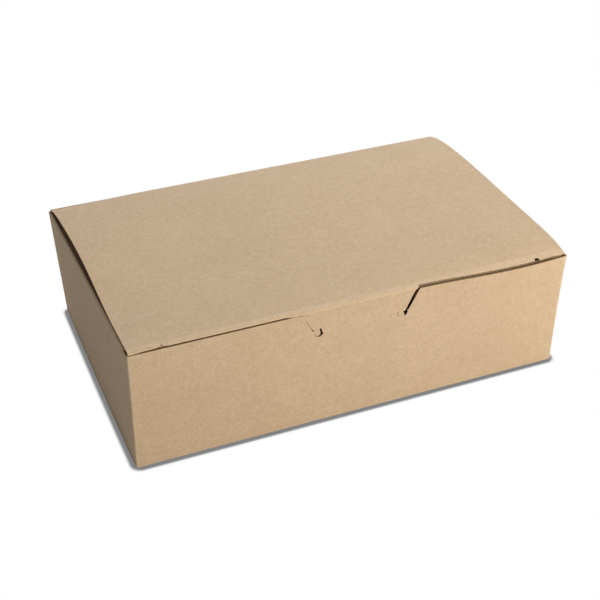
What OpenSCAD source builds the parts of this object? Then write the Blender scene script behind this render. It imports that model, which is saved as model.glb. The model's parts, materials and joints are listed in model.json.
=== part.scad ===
// Low folding carton of plain brown board: a tray with four walls and a hinged, gently bowed lid
// whose tuck flap drops behind the front wall and whose small tab locks in front of it.
// Millimetres, +Z up, front wall towards -Y, origin at the middle of the underside.

/* [Box] */
// Outside width, left to right
box_w = 235; // [150:1:340]
// Outside depth, front to back
box_d = 151; // [110:1:220]
// Outside height of the walls
box_h = 66.5; // [45:0.5:110]
// Thickness of the board
board = 0.6; // [0.45:0.05:0.8]
// Outside radius of every fold in the walls
fold_r = 1.1; // [1:0.1:1.6]

/* [Lid] */
// Height of the lid's front fold above the front wall
front_rise = 1.6; // [1.2:0.1:4]
// Height of the lid's bow behind its middle, left edge
bow_left = 6; // [1:0.1:9]
// Height of the lid's bow behind its middle, right edge
bow_right = 6.6; // [1:0.1:9]
// Extra lift of the lid's right edge over its whole length
side_lift = 3.2; // [0:0.1:5]
// How far each side edge of the lid stands in from the wall at the front
lid_inset_front = 0.8; // [0.5:0.1:2]
// How far each side edge of the lid stands in from the wall at the hinge
lid_inset_rear = 1; // [0.8:0.1:4]
// Depth of the tuck flap behind the front wall
flap_depth = 22; // [17:0.5:24]
// Radius of the tuck flap's lower corners
flap_corner_r = 14; // [4:0.5:16]
// Distance of the small cuts in the front fold from the lid's side edges
fold_cut_from_end = 16.5; // [10:0.5:30]

/* [Lock] */
// Width of the lock tab at the front wall's top edge
tab_top_w = 62.2; // [46:0.2:80]
// Width of the lock tab at its free edge
tab_foot_w = 50.4; // [36:0.2:60]
// Length of the lock tab below the front wall's top edge
tab_drop = 10.6; // [9:0.1:12]
// Width of the slits beside the tab
slit_w = 0.8; // [0.5:0.05:1]
// Radius of the hooks that end the slits
hook_r = 2.2; // [2:0.1:3]

/* [Flaps inside] */
// Length of the two dust flaps from the side walls
dust_len = 50; // [30:1:60]
// Downward slope of the dust flaps, in degrees
dust_slope = 8; // [2:0.5:10]
// Width of the glued seam flap inside the rear left corner
seam_w = 15; // [10:1:20]
// Length of the two inner bottom panels from the side walls
bottom_len = 62; // [40:1:70]

/* [Hidden] */
$fn = 48;

fit = 0.35;                    // clearance between neighbouring sheets
front_y = -box_d / 2;          // outer face of the front wall
rear_y = box_d / 2;            // outer face of the rear wall
hinge_y = rear_y - board / 2;  // the lid turns about this line, at the height of the walls
rear_top = box_h - 1.5 * board;  // top of the rear wall, just under the crease
bend_r = 1.5;                  // middle radius of the lid's front fold
cut_angle = 50;                // how far round the front fold its end cuts lie, from the flap up
cut_w = 0.3;                   // width of those cuts
cut_r = 0.8;                   // radius of the round start of each cut
hinge_relief = 1.2;            // the side walls end this far before the rear wall, at the lid's crease

// Front wall lock, seen from the front: slanted slits that end in curled hooks
slit_foot_v = tab_drop - 0.6;  // depth where a slit turns into its hook
hook_x = tab_foot_w / 2 - hook_r - 0.1;
hook_v = slit_foot_v + hook_r * 0.85;
tongue_foot_v = hook_v + hook_r;
tongue_half = hook_x - hook_r - slit_w / 2;
tongue_push = board + fit - 0.1;  // how far the tab presses the tongue back
tab_proud = 0.15;              // how far the tab stands in front of the wall

// Tuck flap: it leans back so that it clears the pushed tongue while the lid opens
reach = hinge_y - front_y;
flap_sweep = pow(flap_depth, 2) / (2 * reach);
flap_lean = atan((flap_sweep + tongue_push + fit) / flap_depth);
flap_end_y = front_y + board + fit + board / 2 + bend_r;
tab_end_y = front_y - tab_proud + board / 2 + bend_r;
panel_len = hinge_y - flap_end_y;
flap_inset = board + 1.6;      // the flap's ends stand inside the side walls
notch_gap = 2.4;               // room in the tuck flap beside the lock
notch_foot_v = tongue_foot_v + 1;

// Dust flaps keep clear of the tuck flap and of the hinge
dust_front_y = flap_end_y - bend_r + flap_depth * tan(flap_lean) + board / 2 + 1.5;
dust_rear_y = rear_y - 2.5;
flap_relief = 0.3;             // the wall's top is cut away this far beyond the flap's ends

// Shape of the lid's bow from the hinge (0) to the front fold (1): steep at the hinge, then easing
bow_start = 0.01;
bow_rise = 0.45;
bow_fall = 2;
bow_peak = 0.2375;
lift_end = 14;                 // how suddenly the lifted edge comes down at the front fold
lid_steps = 26;

function bow_at(s) =
    (pow(s + bow_start, bow_rise) - pow(bow_start, bow_rise)) * pow(max(0, 1 - s), bow_fall) / bow_peak;
function along(x) = (x + box_w / 2) / box_w;
function lid_z(s, x) =
    box_h + front_rise * s
    + (bow_left + (bow_right - bow_left) * along(x)) * bow_at(s)
    + side_lift * along(x) * s * (1 - pow(s, lift_end));
function lid_half(s) = box_w / 2 - lid_inset_front - (lid_inset_rear - lid_inset_front) * max(0, 1 - s);

// Outlines and small helpers

module rounded_rect(w, d, r) {
    square([w - 2 * r, d], center = true);
    square([w, d - 2 * r], center = true);
    for (x = [-1, 1], y = [-1, 1])
        translate([x * (w / 2 - r), y * (d / 2 - r)])
            circle(r);
}

// Upright section of a block whose two foot corners are rounded
module foot_section(w, h, r) {
    translate([-w / 2, r])
        square([w, h - r]);
    translate([-w / 2 + r, 0])
        square([w - 2 * r, h]);
    for (x = [-1, 1])
        translate([x * (w / 2 - r), r])
            circle(r);
}

// Block with rounded upright edges and rounded foot edges
module folded_block(w, d, h, r) {
    intersection() {
        linear_extrude(h)
            rounded_rect(w, d, r);
        rotate([90, 0, 0])
            linear_extrude(d + 2, center = true)
                foot_section(w, h, r);
        rotate([90, 0, 90])
            linear_extrude(w + 2, center = true)
                foot_section(d, h, r);
    }
}

// Places a front view outline (x, height over the floor) as a plate reaching back from y0
module front_plate(y0, depth) {
    translate([0, y0 + depth, 0])
        rotate([90, 0, 0])
            linear_extrude(depth)
                children();
}

// Trapezoid hanging from the front wall's top edge: half widths at the top and at depth v
module trapezoid(half_top, half_foot, v, above = 0) {
    slope = (half_top - half_foot) / v;
    polygon([
        [-half_top - slope * above, box_h + above],
        [half_top + slope * above, box_h + above],
        [half_foot, box_h - v],
        [-half_foot, box_h - v]
    ]);
}

// Tray

// Outline of the pushed tongue; grow widens it to the window in the wall, which the tab also clears
module tongue_outline(grow) {
    foot_v = grow > 0 ? tab_drop + fit : slit_foot_v + 0.4;
    trapezoid(tab_top_w / 2 + grow, tab_foot_w / 2 + grow, foot_v, 1);
    if (grow > 0)
        translate([-hook_x, box_h - hook_v])
            square([2 * hook_x, hook_v - 2]);
    for (x = [-1, 1])
        translate([x * hook_x, box_h - hook_v])
            circle(hook_r - slit_w / 2 + grow);
    translate([-tongue_half, box_h - tongue_foot_v])
        square([2 * tongue_half, tongue_foot_v - 2]);
}

// The tongue between the slits, bent back from its foot
module tongue() {
    mid_v = tab_drop + 0.6;
    intersection() {
        front_plate(front_y - 1, 6)
            tongue_outline(0);
        rotate([90, 0, 90])
            linear_extrude(box_w / 2, center = true)
                polygon([
                    [front_y, box_h - tongue_foot_v],
                    [front_y + tongue_push, box_h - mid_v],
                    [front_y + tongue_push + 0.1, box_h],
                    [front_y + tongue_push + 0.1 + board, box_h],
                    [front_y + tongue_push + board, box_h - mid_v],
                    [front_y + board, box_h - tongue_foot_v]
                ]);
    }
}

// Section of a dust flap: it rolls over the side wall's top and slopes down inwards
module dust_section() {
    lead = 1;
    translate([-box_w / 2 + fold_r, box_h - fold_r]) {
        difference() {
            circle(fold_r);
            circle(fold_r - board);
            translate([-2 * fold_r, -2 * fold_r])
                square([4 * fold_r, 2 * fold_r]);
            rotate(-dust_slope)
                translate([0, -2 * fold_r])
                    square([4 * fold_r, 4 * fold_r]);
        }
        // lead-in on the side wall, and the flap beyond the fold
        translate([-fold_r, -lead])
            square([board, lead]);
        rotate(-dust_slope)
            translate([-0.001, fold_r - board])
                square([dust_len, board]);
    }
}

module dust_flap() {
    taper_front = 5;
    taper_rear = 20;
    tip_x = -box_w / 2 + dust_len;
    intersection() {
        rotate([90, 0, 0])
            linear_extrude(box_d, center = true)
                dust_section();
        linear_extrude(box_h + 5)
            polygon([
                [-box_w / 2 - 1, dust_front_y],
                [-box_w / 2 + 3, dust_front_y],
                [tip_x - 4, dust_front_y + taper_front],
                [tip_x, dust_front_y + taper_front + 4],
                [tip_x, dust_rear_y - taper_rear - 6],
                [tip_x - 6, dust_rear_y - taper_rear],
                [-box_w / 2 + 6, dust_rear_y - 2],
                [-box_w / 2 + 3, dust_rear_y],
                [-box_w / 2 - 1, dust_rear_y]
            ]);
    }
}

// Inner bottom panel, folded in from a side wall and glued to the floor
module bottom_panel() {
    edge_x = -box_w / 2 + board + 0.4;
    tip_x = -box_w / 2 + bottom_len;
    linear_extrude(2 * board)
        polygon([
            [edge_x, front_y + 4],
            [tip_x, front_y + box_d * 0.24],
            [tip_x, rear_y - box_d * 0.24],
            [edge_x, rear_y - 4]
        ]);
}

// Line on the underside where the two outer bottom panels lock past each other
module bottom_seam() {
    step_x = box_w * 0.12;
    step_y = box_d * 0.1;
    gap = 0.4;
    for (turn = [0, 180])
        rotate(turn) {
            translate([step_x - gap / 2, step_y - gap / 2])
                square([box_w, gap]);
            translate([step_x - gap / 2, -gap / 2])
                square([gap, step_y]);
        }
    square([2 * step_x + gap, gap], center = true);
}

// Walls and floor of the folded sheet
module walls() {
    difference() {
        folded_block(box_w, box_d, box_h, fold_r);
        translate([0, 0, board])
            folded_block(box_w - 2 * board, box_d - 2 * board, box_h, fold_r - board);
        front_plate(front_y - 1, board + 2)
            tongue_outline(slit_w);
        // the side walls end in a fold where the dust flaps begin
        for (x = [-1, 1])
            translate([x * box_w / 2, (dust_front_y + dust_rear_y) / 2, box_h])
                cube([4 * fold_r, dust_rear_y - dust_front_y + 2 * flap_relief, 2 * fold_r], center = true);
        // the rear wall stops under the lid's crease
        translate([-box_w, rear_y - hinge_relief, rear_top])
            cube([2 * box_w, 10, 10]);
        translate([0, 0, -1])
            linear_extrude(1 + board * 0.5)
                intersection() {
                    bottom_seam();
                    square([box_w - 4, box_d - 4], center = true);
                }
    }
}

module tray() {
    color("#b18f66")
        union() {
            walls();
            tongue();
            for (flip = [0, 1])
                mirror([flip, 0, 0]) {
                    dust_flap();
                    bottom_panel();
                }
            // glued seam flap inside the rear left corner
            translate([-box_w / 2 + board - 0.05, rear_y - fold_r - seam_w, 4])
                cube([board + 0.05, seam_w, box_h - 10]);
        }
}

// Lid

// Share of the way from the hinge to the front fold at step i, with short steps at both ends
function share_at(i) = (1 - cos(180 * min(1, i / lid_steps))) / 2;

// Middle line of the lid at a station x: bow, front fold and leaning tuck flap
function lid_line(x) = concat(
    [for (i = [0:lid_steps])
        let (s = share_at(i))
        [hinge_y - s * panel_len, lid_z(s, x)]],
    [for (a = [15:15:90])
        [flap_end_y - bend_r * sin(a), lid_z(1, x) - bend_r * (1 - cos(a))]],
    let (drop = flap_depth + front_rise - bend_r)
    [[flap_end_y - bend_r + drop * tan(flap_lean), box_h - flap_depth]]
);

// Unit normal of a line at point i, on the outer side
function line_normal(line, i) =
    let (
        a = line[max(0, i - 1)],
        b = line[min(len(line) - 1, i + 1)],
        d = b - a
    )
    [d[1], -d[0]] / norm(d);

// Closed ring of board thickness around a middle line, at a share of the lid's half width
function sheet_ring(line, share) = concat(
    [for (i = [0:len(line) - 1])
        let (p = line[i] + line_normal(line, i) * board / 2)
        [share * lid_half(share_at(i)), p[0], p[1]]],
    [for (i = [len(line) - 1:-1:0])
        let (p = line[i] - line_normal(line, i) * board / 2)
        [share * lid_half(share_at(i)), p[0], p[1]]]
);

// Sheet lofted between rings of equal length; every four-sided patch is split into triangles
module lofted_sheet(rings) {
    n = len(rings[0]);
    last = len(rings) - 1;
    end = last * n;
    polyhedron(
        points = [for (ring = rings) each ring],
        faces = concat(
            [for (k = [0:last - 1], i = [0:n - 1])
                let (a = k * n + i, b = k * n + (i + 1) % n)
                each [[a, a + n, b], [b, a + n, b + n]]],
            // the two cut ends
            [for (i = [0:n / 2 - 2])
                each [[i, i + 1, n - 1 - i], [n - 1 - i, i + 1, n - 2 - i]]],
            [for (i = [0:n / 2 - 2])
                each [
                    [end + i, end + n - 1 - i, end + i + 1],
                    [end + n - 1 - i, end + n - 2 - i, end + i + 1]
                ]]
        )
    );
}

// Bowed panel, front fold and full tuck flap, before anything is cut out
module lid_sheet() {
    shares = [-1, -0.6, -0.27, 0.27, 0.6, 1];
    lofted_sheet([for (share = shares) sheet_ring(lid_line(share * box_w / 2), share)]);
}

// Section of the lock tab, from the panel's front end over the fold and down
module tab_section(drop) {
    core = 3;
    outer_r = bend_r + board / 2;
    // thin core that runs back inside the panel
    translate([flap_end_y - 0.01, -board / 4])
        square([core, board / 2]);
    translate([tab_end_y - 0.01, -board / 2])
        square([flap_end_y - tab_end_y + 0.01, board]);
    translate([tab_end_y, -bend_r])
        difference() {
            circle(outer_r);
            circle(outer_r - board);
            translate([0, -outer_r])
                square([outer_r, 2 * outer_r]);
            translate([-outer_r, -outer_r])
                square([2 * outer_r, outer_r]);
        }
    translate([tab_end_y - outer_r, -bend_r - drop])
        square([board, drop]);
}

// Lock tab: leaves the panel level, then drops in front of the wall
module tab() {
    intersection() {
        translate([0, 0, box_h + front_rise])
            rotate([90, 0, 90])
                linear_extrude(tab_top_w + 10, center = true)
                    tab_section(tab_drop + front_rise + 2);
        front_plate(front_y - 3, 12) {
            trapezoid(tab_top_w / 2, tab_foot_w / 2, tab_drop);
            translate([-tab_top_w / 2, box_h - 0.01])
                square([tab_top_w, 20]);
        }
    }
}

// Everything cut out of the lid sheet
module lid_cuts() {
    end_x = box_w / 2 - flap_inset;
    cut_x = box_w / 2 - lid_inset_front - fold_cut_from_end;
    // opening in the fold, where the tab comes from
    front_plate(front_y - 5, 5 + flap_end_y - front_y)
        trapezoid(tab_top_w / 2 + 0.4, tab_top_w / 2 + 0.4, 2, 10);
    // the flap's notch behind the lock
    front_plate(front_y - 5, 15)
        trapezoid(tab_top_w / 2 + notch_gap, tab_foot_w / 2 + notch_gap, notch_foot_v);
    for (flip = [0, 1])
        mirror([flip, 0, 0]) {
            // flap end, with its rounded lower corner
            front_plate(front_y - 5, 15)
                difference() {
                    translate([end_x - flap_corner_r, box_h - flap_depth - 5])
                        square([flap_corner_r + 10, flap_depth + 5 - 0.2]);
                    translate([end_x - flap_corner_r - 1, box_h - flap_depth + flap_corner_r])
                        square([flap_corner_r + 1, flap_depth]);
                    translate([end_x - flap_corner_r, box_h - flap_depth + flap_corner_r])
                        circle(flap_corner_r);
                }
        }
    // cuts along the front fold at both ends, each with a small round start
    for (side = [-1, 1])
        translate([side * cut_x, flap_end_y, box_h + front_rise - bend_r])
            rotate([-cut_angle, 0, 0])
                translate([0, -bend_r, 0]) {
                    translate([side * 25, 0, 0])
                        cube([50, 3 * board, cut_w], center = true);
                    rotate([90, 0, 0])
                        cylinder(h = 3 * board, r = cut_r, center = true);
                }
}

module lid() {
    color("#c7ae8f")
        union() {
            difference() {
                lid_sheet();
                lid_cuts();
            }
            tab();
        }
}

tray();
lid();
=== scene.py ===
"""A plain kraft candy carton, closed, on a white ground.

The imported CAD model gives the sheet's exact outline. Its tray and lid are copied, cut into a fine
net and eased here and there, so that the board bows, rolls over its folds and gapes as in the photo.
Sizes are in millimetres in the CAD frame and turned into metres where Blender needs them.
"""

import json
import math

import bmesh
import bpy
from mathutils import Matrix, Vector, noise
from mathutils.bvhtree import BVHTree


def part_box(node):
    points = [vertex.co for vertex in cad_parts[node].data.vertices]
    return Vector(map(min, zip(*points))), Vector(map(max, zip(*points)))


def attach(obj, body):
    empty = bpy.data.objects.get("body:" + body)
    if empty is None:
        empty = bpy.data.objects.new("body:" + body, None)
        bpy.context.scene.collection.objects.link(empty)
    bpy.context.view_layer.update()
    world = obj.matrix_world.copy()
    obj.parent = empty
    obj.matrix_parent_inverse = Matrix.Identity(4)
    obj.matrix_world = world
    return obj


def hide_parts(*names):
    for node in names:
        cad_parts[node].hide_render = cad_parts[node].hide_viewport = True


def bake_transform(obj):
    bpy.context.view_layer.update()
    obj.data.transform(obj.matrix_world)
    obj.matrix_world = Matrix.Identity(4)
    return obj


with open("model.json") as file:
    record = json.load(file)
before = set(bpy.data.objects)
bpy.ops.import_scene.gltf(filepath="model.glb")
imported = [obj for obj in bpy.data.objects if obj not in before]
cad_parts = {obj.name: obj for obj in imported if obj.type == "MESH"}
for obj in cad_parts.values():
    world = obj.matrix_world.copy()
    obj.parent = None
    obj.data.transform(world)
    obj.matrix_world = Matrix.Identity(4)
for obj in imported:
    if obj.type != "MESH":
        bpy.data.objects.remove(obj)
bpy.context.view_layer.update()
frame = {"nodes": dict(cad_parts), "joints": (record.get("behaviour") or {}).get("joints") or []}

MM = 0.001

# Sizes read from the frame

tray_low, tray_high = (Vector(c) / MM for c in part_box("tray"))
WIDTH = tray_high.x - tray_low.x
DEPTH = tray_high.y - tray_low.y
WALL_TOP = tray_high.z
FRONT = tray_low.y
REAR = tray_high.y
RIGHT = tray_high.x
HINGE = Vector(frame["joints"][0]["pos_m"]) / MM
BOARD = 0.6                    # thickness of the board
LID_REAR_HALF = WIDTH / 2 - 1  # half width of the lid at its hinge
NET_STEP = 4.0                 # cell size of the net that the copies are cut into

# The lock's outline as the CAD has it, with depths measured down from the front wall's top
TAB_TOP_HALF = 31.1          # half width of the tab at the wall's top
TAB_FOOT_HALF = 25.2         # and at its foot
TAB_FOOT = 10.6              # depth of its foot
SLIT = 0.8                   # width of the slits
NECK_HALF = 20.3             # half width of the tongue's neck, below its ears
EAR_X = 22.9                 # middle of an ear
EAR_DEPTH = 11.87
EAR_R = 1.8
TONGUE_FOOT = 14.07          # depth where the tongue joins the wall
TONGUE_PUSH = 0.85           # how far the tab presses it back
SLIT_CLOSED = SLIT - 0.06    # how far an edge moves to close a slit

# Easing of the board
BOW_START_X = 33             # the front wall's top bows out from here to the right corner
BOW_CORNER = 1.7             # how far it stands out at the corner
BOW_MIDDLE = 1.8             # and how much more in between
BOW_FADE = 1.7               # how fast it fades towards the foot
LID_BOW_OUT = 0.82           # share of it that the lid's fold follows outwards
LID_BOW_DOWN = 0.18          # and how far the fold comes down with it
CORNER_FLARE = 1.2           # how far that corner leans to the right
LID_FLARE = 0.8              # share of it that the lid follows
FOOT_PINCH = 4.0             # how far the rear left foot corner stands in
FLAP_SAG = 5.0               # how far the dust flaps drop just behind their fold
FLAP_SAG_LENGTH = 3.0        # and over what length
FOLD_ROLL = 0.30             # how far the lid's front fold rolls over the wall's top edge
LOCK_OFFSET = 1.9            # how far the slits sit to the right of the wall's middle
TAB_SHIFT = 0.78             # how far the tab and tongue sit to the left in their slits
TAB_RECESS = 0.22            # how far the tab is pressed back
TAB_LONGER = -0.1            # how much further down it reaches
TAB_SKEW = 0.8               # how much its foot drops to the right and rises to the left
TAB_OFF_RIGHT = 0.6          # how far its right side stands off the slit
TAB_SIDE = 0.38              # how far the fold closes on each of its sides
LEFT_EAR_BACK = 0.45         # how far the left ear lies back
CURL = 2.2                   # how far the tuck flap stands behind the lip of the fold
CURL_RIGHT = 3.2             # and right of the tab
LIP_LEFT = 0.65              # height of that lip above the walls, left of the tab
LIP_RIGHT = 1.8              # and right of it
CLOSED_OUT = 1.1             # where the flap lies close, how far the fold comes forward
CLOSED_DOWN = 0.2            # and down
CUT_X = 100.2                # the small cuts in the lid's fold begin here
CUT_Y = 1.79                 # this far behind the front wall's face
CUT_Z = 1.25                 # and this high above the walls
CUT_RISE = 50                # how steeply the fold faces up there, in degrees
CUT_HALF = 0.15              # half width of a cut
CUT_R = 0.8                  # radius of the round hole at its start
CUT_RIGHT = (1.8, 1.3, -0.4)  # length and height it keeps on the right, and its slant
CUT_LEFT = (0.5, 0.4, 0.0)   # and on the left
LEFT_RISE = 1.3              # how much higher the middle of the lid's left edge stands
LEFT_DRAW = 0.3              # share of that by which it is drawn in
REAR_DIP = 0.8               # how much lower the lid's rear left corner lies
WAVE_SIZE = 55               # length of the board's faint waves
WAVE_TRAY = 0.22             # their height in the walls
WAVE_LID = 0.25              # and in the lid


def ramp(value, low, high):
    """0 at low, 1 at high, with soft ends."""
    t = min(1.0, max(0.0, (value - low) / (high - low)))
    return t * t * (3 - 2 * t)


def wave(p, seed):
    """Smooth noise between -1 and 1 over the sheet."""
    at = (p.x / WAVE_SIZE + seed, p.y / WAVE_SIZE - seed, p.z / WAVE_SIZE + 2 * seed)
    return noise.noise(Vector(at))


def front_bow(x):
    """How far the front wall's top edge stands out at x."""
    t = min(1, max(0, (x - BOW_START_X) / (RIGHT - BOW_START_X)))
    return BOW_CORNER * ramp(t, 0, 0.9) + BOW_MIDDLE * math.sin(math.pi * t ** 1.3)


def corner_share(p):
    """1 at the front right corner, falling away along both walls."""
    return ramp(p.x, RIGHT - 45, RIGHT) * ramp(-p.y, -FRONT - 110, -FRONT)


def lock_shift(x):
    """How far a point at x slides with the lock, less and less towards the corners."""
    return LOCK_OFFSET * ramp(abs(x), WIDTH / 2 - 20, TAB_TOP_HALF + 12)


def in_tongue(p):
    """True for the tongue between the lock's slits, which ends in two round ears beside its neck."""
    depth = WALL_TOP - p.z
    x = abs(p.x)
    if p.y > FRONT + 3 or depth > TONGUE_FOOT - 0.02:
        return False
    half = TAB_TOP_HALF + (TAB_FOOT_HALF - TAB_TOP_HALF) * depth / TAB_FOOT
    in_ear = math.hypot(x - EAR_X, depth - EAR_DEPTH) < EAR_R + 0.3
    return (depth < TAB_FOOT and x < half + 0.3) or in_ear or x < NECK_HALF + 0.1


def skew(p, q, share):
    """Turns the foot of the tab and tongue clockwise; their sides slide along the slits."""
    drop = TAB_SKEW * p.x / TAB_FOOT_HALF * share
    q.z -= drop
    q.x -= abs(drop) * (TAB_TOP_HALF - TAB_FOOT_HALF) / TAB_FOOT


def ease_tongue(p):
    """The tongue sits to the left; below the tab it lies level with the wall."""
    q = p.copy()
    depth = WALL_TOP - p.z
    skew(p, q, ramp(depth, TAB_FOOT - 6, TAB_FOOT - 0.5) * ramp(depth, TONGUE_FOOT, TAB_FOOT + 0.6))
    q.x += LOCK_OFFSET - TAB_SHIFT * ramp(depth, TONGUE_FOOT, TONGUE_FOOT - 2.5)
    if depth > TAB_FOOT + TAB_LONGER + 0.01:
        middle = TAB_FOOT + 0.6
        q.y -= (TONGUE_PUSH - 0.1) * min(1, (TONGUE_FOOT - depth) / (TONGUE_FOOT - middle))
    # the ears close on the wall at their foot, and on the right the neck closes on its ear
    if abs(p.x) > NECK_HALF + 0.1:
        close = SLIT_CLOSED if p.x > 0 else 0.3 + 0.44 * ramp(-p.x, EAR_X - 0.4, EAR_X + 0.8)
        q.z -= close * ramp(depth, EAR_DEPTH - 1, EAR_DEPTH + EAR_R)
        if p.x < 0:
            q.y += LEFT_EAR_BACK * ramp(depth, TAB_FOOT - 0.5, EAR_DEPTH)
    elif p.x > 0 and depth > TAB_FOOT - 0.5:
        q.x += SLIT_CLOSED * ramp(p.x, NECK_HALF - 6, NECK_HALF)
    return q


def ease_tray(p):
    """Where a point of the tray goes."""
    if in_tongue(p):
        return ease_tongue(p)
    q = p.copy()
    up = p.z / WALL_TOP
    q.y -= front_bow(p.x) * up ** BOW_FADE * ramp(p.y, FRONT + 6, FRONT + 1)
    q.x += lock_shift(p.x) * ramp(p.y, FRONT + 3, FRONT + 1) * ramp(up, 0.2, 0.6)
    q.x += CORNER_FLARE * corner_share(p) * up ** BOW_FADE
    # the left wall leans: its rear foot stands in
    back = (p.y - FRONT) / DEPTH
    left = ramp(-p.x, 0, WIDTH / 2)
    q.x += FOOT_PINCH * (1 - up) * back ** 1.3 * left
    # the dust flaps sag behind their folds
    from_fold = WIDTH / 2 - 1.1 - abs(p.x)
    if from_fold > 0 and p.z > WALL_TOP - 10 and FRONT + 5 < p.y < REAR - 2:
        q.z -= FLAP_SAG * (1 - math.exp(-from_fold / FLAP_SAG_LENGTH))
    # faint waves, still at the folds and at the foot
    calm = ramp(p.z, 2, 25) * ramp(WALL_TOP - p.z, 1, 22)
    on_front = ramp(p.y, FRONT + 3, FRONT + 1)
    on_rear = ramp(p.y, REAR - 3, REAR - 1)
    on_side = ramp(abs(p.x), WIDTH / 2 - 3, WIDTH / 2 - 1)
    inner = ramp(WIDTH / 2 - abs(p.x), 1, 20) * (on_front - on_rear)
    q.y += WAVE_TRAY * 2 * wave(p, 3.1) * calm * inner
    q.x += WAVE_TRAY * 2 * wave(p, 7.7) * calm * on_side * ramp(DEPTH / 2 - abs(p.y), 1, 20)
    return q


def ease_tab(p):
    """The lock tab slides left and back, and its foot turns a little."""
    q = p.copy()
    q.x += LOCK_OFFSET - TAB_SHIFT * ramp(p.z, WALL_TOP + 1.2, WALL_TOP)
    q.y += TAB_RECESS * ramp(p.z, WALL_TOP + 0.4, WALL_TOP - 2)
    low = ramp(WALL_TOP - p.z, TAB_FOOT - 6, TAB_FOOT - 0.5)
    q.z -= TAB_LONGER * low
    skew(p, q, low)
    # its right side stands off the slit, most of all at the top
    in_slit = ramp(p.z, WALL_TOP + 0.8, WALL_TOP - 0.5) * ramp(p.z, WALL_TOP - 10, WALL_TOP - 2)
    q.x -= TAB_OFF_RIGHT * ramp(p.x, TAB_TOP_HALF - 9, TAB_TOP_HALF - 2) * in_slit
    return q


def ease_cut(p, q):
    """The cuts at the fold's two ends: a slanting nick on the right, nearly closed on the left."""
    rise = math.radians(CUT_RISE)
    up_fold = Vector((0, math.sin(rise), math.cos(rise)))
    middle = Vector((math.copysign(CUT_X, p.x), FRONT + CUT_Y, WALL_TOP + CUT_Z))
    along = p.x - middle.x
    over = (p - middle).dot(up_fold)
    if abs(p.x) > CUT_X and abs(abs(over) - CUT_HALF) < 0.03:
        q -= up_fold * math.copysign(CUT_HALF - 0.03, over)
    share = ramp(math.hypot(along, over), 2.4, CUT_R + 0.1)
    keep_long, keep_high, slant = CUT_RIGHT if p.x > 0 else CUT_LEFT
    q.x += (keep_long - 1) * along * share
    q += up_fold * ((keep_high - 1) * over + slant * along) * share


def ease_fold(p, q):
    """The front fold: a lip over the wall's top edge, with the tuck flap well behind it."""
    over = p.z - WALL_TOP
    near = ramp(p.y, FRONT + 12, FRONT + 3)
    bow = front_bow(p.x)
    lip = LIP_RIGHT if p.x > 0 else LIP_LEFT
    q.y -= LID_BOW_OUT * bow * near * ramp(over, 2.1, lip - 0.3) * ramp(over, -22, -4)
    q.z -= LID_BOW_DOWN * bow * ramp(p.y, FRONT + 2.9, FRONT + 1.2) * ramp(over, -2, 0)
    if abs(p.x) > TAB_TOP_HALF + 0.3:
        # left of the tab, and at the left corner, the flap lies close behind the wall
        closed = 0.0
        if p.x < 0:
            by_tab = ramp(p.x, -TAB_TOP_HALF - 10, -TAB_TOP_HALF - 6)
            closed = max(0.12, by_tab, 0.8 * ramp(-p.x, WIDTH / 2 - 8, WIDTH / 2 - 3))
        curl = CURL * (1 - closed)
        if p.x > 0:
            curl = CURL_RIGHT * (1 - 0.65 * ramp(p.x, WIDTH / 2 - 11, WIDTH / 2 - 3))
        q.y -= FOLD_ROLL * (1 - closed) * ramp(over, 0.1, lip) * ramp(p.y, FRONT + 6, FRONT + 2.5)
        fade = 1 - 0.8 * ramp(over, -3, -20)
        q.y += curl * ramp(over, lip, -0.4) * fade * ramp(p.y, FRONT + 8, FRONT + 5)
        q.y -= CLOSED_OUT * closed * ramp(over, -0.1, 0.5) * ramp(p.y, FRONT + 14, FRONT + 4)
        q.z -= CLOSED_DOWN * closed * ramp(over, 1.2, 0.3) * ramp(over, -0.5, 0.05)
    # the fold closes on the tab's two sides
    if abs(abs(p.x) - TAB_TOP_HALF - 0.4) < 0.05 and over > -0.4:
        q.x -= math.copysign(TAB_SIDE, p.x)


def ease_lid(p):
    """Where a point of the lid goes."""
    if abs(p.x) < TAB_TOP_HALF + 0.05 and p.y < FRONT + 2.7:
        return ease_tab(p)
    q = p.copy()
    if p.y < FRONT + 12:
        ease_fold(p, q)
        ease_cut(p, q)
    q.x += lock_shift(p.x) * ramp(p.y, FRONT + 60, FRONT + 10)
    # the panel's left edge stands up in its middle and is drawn in a little
    left = ramp(-p.x, 55, WIDTH / 2) * ramp(abs(p.y - 3), 52, 0)
    q.z += LEFT_RISE * left
    q.x += LEFT_DRAW * LEFT_RISE * left
    q.x += LID_FLARE * CORNER_FLARE * corner_share(p)
    q.z -= REAR_DIP * ramp(-p.x, 60, WIDTH / 2) * ramp(p.y, HINGE.y - 45, HINGE.y - 4)
    # faint waves in the panel
    if p.z > WALL_TOP + 0.3:
        still = ramp(p.y, FRONT + 2, FRONT + 25) * ramp(HINGE.y - p.y, 2, 25)
        q.z += WAVE_LID * 2 * wave(p, 1.4) * still
    return q


# Meshes


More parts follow.
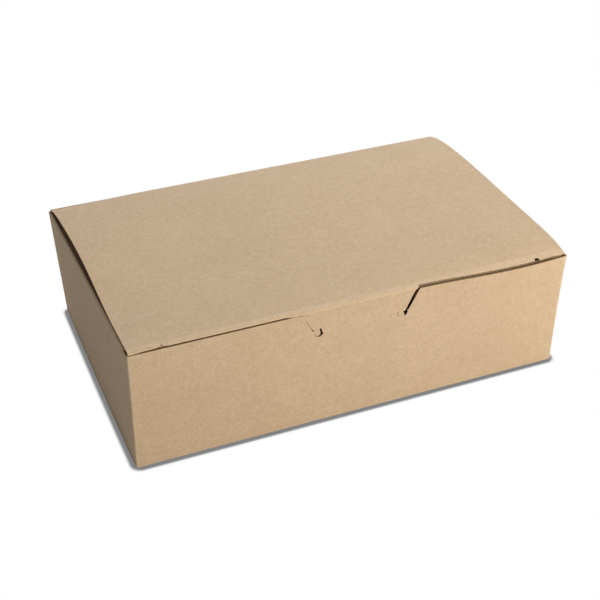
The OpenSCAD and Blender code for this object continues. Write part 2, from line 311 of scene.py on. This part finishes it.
def net_copy(node, name, ease, heights):
    """A copy of a CAD node, cut into small cells and at some heights, and then eased."""
    piece = frame["nodes"][node].copy()
    piece.data = frame["nodes"][node].data.copy()
    piece.name = name
    piece.data.name = name
    piece.data.materials.clear()
    piece.parent = None
    for key in list(piece.keys()):
        del piece[key]
    bpy.context.scene.collection.objects.link(piece)
    bm = bmesh.new()
    bm.from_mesh(piece.data)
    bmesh.ops.remove_doubles(bm, verts=bm.verts, dist=1e-6)
    low, high = (Vector(c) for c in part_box(node))
    for axis in range(3):
        normal = Vector([float(i == axis) for i in range(3)])
        count = int((high[axis] - low[axis]) / (NET_STEP * MM))
        cuts = [low[axis] + (high[axis] - low[axis]) * k / count for k in range(1, count)]
        if axis == 2:
            cuts += [height * MM for height in heights]
        for at in cuts:
            geometry = bm.verts[:] + bm.edges[:] + bm.faces[:]
            bmesh.ops.bisect_plane(bm, geom=geometry, plane_co=normal * at, plane_no=normal, dist=1e-6)
    bmesh.ops.triangulate(bm, faces=bm.faces)
    bm.to_mesh(piece.data)
    bm.free()
    for stale in ("custom_normal", "sharp_edge", "sharp_face"):
        if stale in piece.data.attributes:
            piece.data.attributes.remove(piece.data.attributes[stale])
    mark_cut_edges(piece.data)
    for vert in piece.data.vertices:
        vert.co = ease(vert.co / MM) * MM
    return piece


def finish_shading(piece, angle=32):
    """Smooth shading but for the board's cut edges."""
    bm = bmesh.new()
    bm.from_mesh(piece.data)
    for face in bm.faces:
        face.smooth = True
    for line in bm.edges:
        line.smooth = line.calc_face_angle(math.pi) < math.radians(angle)
    bm.to_mesh(piece.data)
    bm.free()


def mark_cut_edges(mesh, limit=2.0):
    """Gives the second material to faces on the board's cut edges: behind them the board is deep."""
    tree = BVHTree.FromPolygons([v.co for v in mesh.vertices], [tuple(f.vertices) for f in mesh.polygons])
    for face in mesh.polygons:
        start = face.center - face.normal * 0.02 * MM
        hit = tree.ray_cast(start, -face.normal, limit * MM)
        face.material_index = 0 if hit[0] is not None else 1


def build_crease():
    """The rear crease: a narrow band of board from the rear wall's top to the lid's first edge."""
    rings = 9
    start = Vector((0, HINGE.y, WALL_TOP - 1.15))
    end = Vector((0, HINGE.y - 0.25, WALL_TOP + 0.28))
    bm = bmesh.new()
    rows = []
    for k in range(rings):
        t = k / (rings - 1)
        mid = start.lerp(end, t)
        lean = math.radians(43) * ramp(t, 0.3, 1)
        out = Vector((0, math.cos(lean), math.sin(lean)))
        half_start = WIDTH / 2 - 1.2
        half = half_start + (LID_REAR_HALF - half_start) * ramp(t, 0.2, 0.9)
        corners = []
        for side, x in ((1, half), (1, -half), (-1, -half), (-1, half)):
            p = mid + out * side * BOARD / 2
            corners.append(bm.verts.new((x * MM, p.y * MM, p.z * MM)))
        rows.append(corners)
    for a, b in zip(rows, rows[1:]):
        for i in range(4):
            j = (i + 1) % 4
            bm.faces.new((a[i], a[j], b[j], b[i]))
    bm.faces.new(rows[0][::-1])
    bm.faces.new(rows[-1])
    bmesh.ops.recalc_face_normals(bm, faces=bm.faces)
    mesh = bpy.data.meshes.new("crease")
    bm.to_mesh(mesh)
    bm.free()
    piece = bpy.data.objects.new("crease", mesh)
    bpy.context.scene.collection.objects.link(piece)
    return piece


# Materials


class Nodes:
    """Small helper that adds and links shader nodes."""

    def __init__(self, name):
        self.material = bpy.data.materials.new(name)
        self.material.use_nodes = True
        self.tree = self.material.node_tree
        self.shader = self.tree.nodes["Principled BSDF"]
        self.place = self.tree.nodes.new("ShaderNodeTexCoord").outputs["Object"]

    def add(self, kind, inputs=None, **settings):
        node = self.tree.nodes.new(kind)
        for key, value in settings.items():
            setattr(node, key, value)
        for key, value in (inputs or {}).items():
            if isinstance(value, bpy.types.NodeSocket):
                self.tree.links.new(value, node.inputs[key])
            else:
                node.inputs[key].default_value = value
        return node

    def noise(self, size, detail=3.0, stretch=(1, 1, 1), turn=0.0, rough=0.55):
        """Noise whose blotches are about size millimetres across, stretched along the axes."""
        mapping = self.add("ShaderNodeMapping", {"Vector": self.place})
        mapping.inputs["Rotation"].default_value = (turn, turn * 0.7, turn)
        mapping.inputs["Scale"].default_value = [1 / (size * MM * s) for s in stretch]
        return self.add(
            "ShaderNodeTexNoise",
            {"Vector": mapping.outputs["Vector"], "Scale": 1.0, "Detail": detail, "Roughness": rough},
        ).outputs["Fac"]

    def band(self, value, low, high, bottom=0.0, top=1.0):
        return self.add(
            "ShaderNodeMapRange",
            {"Value": value, "From Min": low, "From Max": high, "To Min": bottom, "To Max": top},
            interpolation_type="SMOOTHSTEP",
        ).outputs["Result"]

    def math(self, operation, a, b):
        return self.add("ShaderNodeMath", {0: a, 1: b}, operation=operation).outputs["Value"]

    def mix(self, factor, a, b):
        node = self.tree.nodes.new("ShaderNodeMix")
        node.data_type = "RGBA"
        for key, value in ((0, factor), (6, a), (7, b)):
            if isinstance(value, bpy.types.NodeSocket):
                self.tree.links.new(value, node.inputs[key])
            else:
                node.inputs[key].default_value = value
        return node.outputs[2]


def linear(red, green, blue):
    """A colour from its 8-bit screen values."""
    def one(c):
        c /= 255
        return c / 12.92 if c <= 0.04045 else ((c + 0.055) / 1.055) ** 2.4
    return (one(red), one(green), one(blue), 1.0)


KRAFT = linear(202, 176, 145)
KRAFT_DARK = linear(184, 157, 126)
KRAFT_LIGHT = linear(217, 193, 163)
KRAFT_SPECK = linear(120, 86, 56)
# paler kraft for the folds: rubbed fibres and a painted highlight
KRAFT_RUBBED_HIGHLIT = linear(224, 199, 166)
# painted shade for the side walls' foot
KRAFT_FOOT_SHADE = linear(128, 104, 80)
PULP_DARK = linear(160, 128, 94)
PULP_LIGHT = linear(184, 153, 117)


def rubbed_and_highlit_folds(n):
    """1 along the carton's folds, broken up by noise, for their paler rubbed fibres and a painted
    highlight on the folds.
    """
    split = n.add("ShaderNodeSeparateXYZ", {0: n.place})
    across = n.math("ABSOLUTE", split.outputs["X"], 0.0)
    deep = n.math("ABSOLUTE", split.outputs["Y"], 0.0)
    at_side = n.band(across, (WIDTH / 2 - 1.6) * MM, (WIDTH / 2 - 0.5) * MM)
    at_front = n.band(deep, (DEPTH / 2 - 1.6) * MM, (DEPTH / 2 - 0.5) * MM)
    corner = n.math("MULTIPLY", at_side, at_front)
    foot = n.math("MULTIPLY", at_front, n.band(split.outputs["Z"], 1.6 * MM, 0.5 * MM))
    over_wall = n.band(split.outputs["Z"], (WALL_TOP - 0.2) * MM, (WALL_TOP + 0.8) * MM)
    by_front = n.band(split.outputs["Y"], (FRONT + 4.2) * MM, (FRONT + 2.4) * MM)
    lid_fold = n.math("MULTIPLY", over_wall, by_front)
    folds = n.math("MAXIMUM", n.math("MAXIMUM", corner, foot), lid_fold)
    return n.math("MULTIPLY", folds, n.band(n.noise(3.5, detail=4), 0.2, 0.75, 0.35, 1.0))


def painted_foot_shade(n):
    """1 at the foot of the two side walls, fading upwards: painted shade where the walls meet the floor.
    """
    split = n.add("ShaderNodeSeparateXYZ", {0: n.place})
    across = n.math("ABSOLUTE", split.outputs["X"], 0.0)
    at_side = n.band(across, (WIDTH / 2 - 6) * MM, (WIDTH / 2 - 5) * MM)
    deep = n.math("ABSOLUTE", split.outputs["Y"], 0.0)
    off_front = n.band(deep, (DEPTH / 2 - 0.5) * MM, (DEPTH / 2 - 1.5) * MM)
    low = n.band(split.outputs["Z"], 7 * MM, 0.0)
    return n.math("MULTIPLY", n.math("MULTIPLY", low, low), n.math("MULTIPLY", at_side, off_front))


def kraft_board(name):
    """Uncoated kraft board: cloudy pulp, an even fine mottle, short fibres and a few dark specks."""
    n = Nodes(name)
    clouds = n.band(n.noise(24, detail=4), 0.3, 0.7)
    mottle = n.band(n.noise(3.2, detail=3), 0.3, 0.7)
    grain = n.band(n.noise(1.1, detail=3, rough=0.65), 0.28, 0.72)
    fine = n.band(n.noise(0.35, detail=2), 0.3, 0.7)
    fibres_a = n.band(n.noise(0.4, detail=1, stretch=(5, 1, 1), turn=0.7), 0.58, 0.72)
    fibres_b = n.band(n.noise(0.4, detail=1, stretch=(1, 5, 4), turn=-0.5), 0.6, 0.74)
    specks = n.band(n.noise(1.0, detail=1, rough=0.3), 0.75, 0.8)
    colour = n.mix(n.math("MULTIPLY", clouds, 0.35), KRAFT, KRAFT_DARK)
    colour = n.mix(n.math("MULTIPLY", mottle, 0.42), colour, KRAFT_LIGHT)
    colour = n.mix(n.math("MULTIPLY", grain, 0.60), colour, KRAFT_DARK)
    colour = n.mix(n.math("MULTIPLY", fine, 0.20), colour, KRAFT_LIGHT)
    colour = n.mix(n.math("MULTIPLY", fibres_a, 0.35), colour, KRAFT_LIGHT)
    colour = n.mix(n.math("MULTIPLY", fibres_b, 0.30), colour, KRAFT_DARK)
    colour = n.mix(n.math("MULTIPLY", specks, 0.30), colour, KRAFT_SPECK)
    # the folds lightened: rubbed fibres and a painted highlight
    colour = n.mix(n.math("MULTIPLY", rubbed_and_highlit_folds(n), 0.45), colour, KRAFT_RUBBED_HIGHLIT)
    # painted shade darkens the side walls' foot
    colour = n.mix(n.math("MULTIPLY", painted_foot_shade(n), 0.75), colour, KRAFT_FOOT_SHADE)
    n.tree.links.new(colour, n.shader.inputs["Base Color"])
    n.tree.links.new(n.band(grain, 0, 1, 0.78, 0.92), n.shader.inputs["Roughness"])
    n.shader.inputs["Specular IOR Level"].default_value = 0.25
    height = n.math("ADD", n.math("MULTIPLY", grain, 0.5), n.math("MULTIPLY", fibres_a, 0.3))
    tooth = n.add("ShaderNodeBump", {"Height": height, "Strength": 0.3, "Distance": 0.04 * MM})
    broad = n.add(
        "ShaderNodeBump",
        {
            "Height": n.noise(18, detail=2),
            "Strength": 0.5,
            "Distance": 0.4 * MM,
            "Normal": tooth.outputs["Normal"],
        },
    )
    n.tree.links.new(broad.outputs["Normal"], n.shader.inputs["Normal"])
    return n.material


def cut_edge(name):
    """The board's cut edge: browner, fuzzy, with its pulp layers."""
    n = Nodes(name)
    layers = n.band(n.noise(0.3, detail=3), 0.35, 0.65)
    colour = n.mix(layers, PULP_DARK, PULP_LIGHT)
    n.tree.links.new(colour, n.shader.inputs["Base Color"])
    n.shader.inputs["Roughness"].default_value = 0.95
    n.shader.inputs["Specular IOR Level"].default_value = 0.15
    bump = n.add("ShaderNodeBump", {"Height": layers, "Strength": 0.4, "Distance": 0.1 * MM})
    n.tree.links.new(bump.outputs["Normal"], n.shader.inputs["Normal"])
    return n.material


CONTACT_REACH = 3.9          # width of the dark contact line on the floor


def white_ground(name):
    """Pale floor that the camera sees as white, but for the carton's contact line and faint shadow."""
    n = Nodes(name)
    n.shader.inputs["Base Color"].default_value = (0.55, 0.55, 0.56, 1)
    n.shader.inputs["Roughness"].default_value = 0.9
    near = n.add("ShaderNodeAmbientOcclusion", {"Distance": CONTACT_REACH * MM}, samples=32)
    shade = n.band(near.outputs["AO"], 0.72, 0.99, 0.22, 1.0)
    glow = n.add("ShaderNodeEmission", {"Color": (1, 1, 1, 1), "Strength": shade})
    rays = n.add("ShaderNodeLightPath")
    seen = n.math("MAXIMUM", rays.outputs["Is Camera Ray"], rays.outputs["Is Glossy Ray"])
    mixed = n.add("ShaderNodeMixShader", {0: seen, 1: n.shader.outputs[0], 2: glow.outputs[0]})
    out = n.tree.nodes["Material Output"]
    n.tree.links.new(mixed.outputs[0], out.inputs["Surface"])
    return n.material


# The carton

board = kraft_board("kraft_board")
edge = cut_edge("kraft_cut_edge")

foot = WALL_TOP - TAB_FOOT - TAB_LONGER
near_top = [WALL_TOP - 1, WALL_TOP - 2, WALL_TOP - 3]
tray = net_copy("tray", "tray_sheet", ease_tray, near_top + [foot - 0.005, foot - 0.02])
lid = net_copy("lid", "lid_sheet", ease_lid, near_top + [WALL_TOP + 0.3 * k for k in range(-2, 5)])
crease = build_crease()

for piece in (tray, lid, crease):
    finish_shading(piece)
    piece.data.materials.append(board)
    piece.data.materials.append(edge)

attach(tray, "tray")
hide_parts("tray")
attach(lid, "lid")
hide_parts("lid")
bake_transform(crease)

# Ground, light and camera

KEY_TINT = (1.0, 0.94, 0.84)
SKY_TINT = (0.96, 0.98, 1.0)
SKY_LIGHT = 0.31             # what the sky gives


def build_floor():
    bpy.ops.mesh.primitive_plane_add(size=6, location=(0, 0, 0))
    floor = bpy.context.object
    floor.name = "floor"
    floor.data.materials.append(white_ground("white_ground"))


def area_light(name, azimuth, elevation, distance, size, watts, tint):
    """A square lamp that looks at the carton from an azimuth and elevation in degrees."""
    az, el = math.radians(azimuth), math.radians(elevation)
    back = Vector((math.sin(az) * math.cos(el), -math.cos(az) * math.cos(el), math.sin(el)))
    data = bpy.data.lights.new(name, "AREA")
    data.shape = "SQUARE"
    data.size = size
    data.energy = watts
    data.color = tint
    lamp = bpy.data.objects.new(name, data)
    lamp.location = Vector((0, 0, 0.03)) + back * distance
    lamp.rotation_euler = back.to_track_quat("Z", "Y").to_euler()
    bpy.context.scene.collection.objects.link(lamp)


def build_world(strength):
    """White sky: bright for the camera, plain for the light it gives."""
    world = bpy.data.worlds.new("sky")
    bpy.context.scene.world = world
    world.use_nodes = True
    tree = world.node_tree
    background = tree.nodes["Background"]
    rays = tree.nodes.new("ShaderNodeLightPath")
    either = tree.nodes.new("ShaderNodeMath")
    either.operation = "MAXIMUM"
    tree.links.new(rays.outputs["Is Camera Ray"], either.inputs[0])
    tree.links.new(rays.outputs["Is Glossy Ray"], either.inputs[1])
    level = tree.nodes.new("ShaderNodeMapRange")
    level.inputs["To Min"].default_value = strength
    level.inputs["To Max"].default_value = 1.0
    tree.links.new(either.outputs[0], level.inputs["Value"])
    tree.links.new(level.outputs[0], background.inputs["Strength"])
    tint = tree.nodes.new("ShaderNodeMix")
    tint.data_type = "RGBA"
    tint.inputs[6].default_value = (*SKY_TINT, 1)
    tint.inputs[7].default_value = (1, 1, 1, 1)
    tree.links.new(either.outputs[0], tint.inputs[0])
    tree.links.new(tint.outputs[2], background.inputs["Color"])


def build_camera():
    """The photo's view, from a perspective fit of the carton's corners."""
    azimuth, elevation = math.radians(-23.0), math.radians(32.85)
    distance = 0.7413
    target = Vector((0.01486, 0.03282, 0))
    back = Vector((
        math.sin(azimuth) * math.cos(elevation),
        -math.cos(azimuth) * math.cos(elevation),
        math.sin(elevation),
    ))
    data = bpy.data.cameras.new("camera")
    data.sensor_width = 36
    data.lens = 75.8
    camera = bpy.data.objects.new("camera", data)
    camera.location = target + back * distance
    camera.rotation_euler = back.to_track_quat("Z", "Y").to_euler()
    bpy.context.scene.collection.objects.link(camera)
    bpy.context.scene.camera = camera


build_floor()
build_world(SKY_LIGHT)
area_light("key", azimuth=26, elevation=20, distance=0.72, size=0.3, watts=3.5, tint=KEY_TINT)
area_light("back", azimuth=150, elevation=45, distance=0.9, size=0.5, watts=5.4, tint=SKY_TINT)
build_camera()
bpy.context.scene.view_settings.view_transform = "Standard"
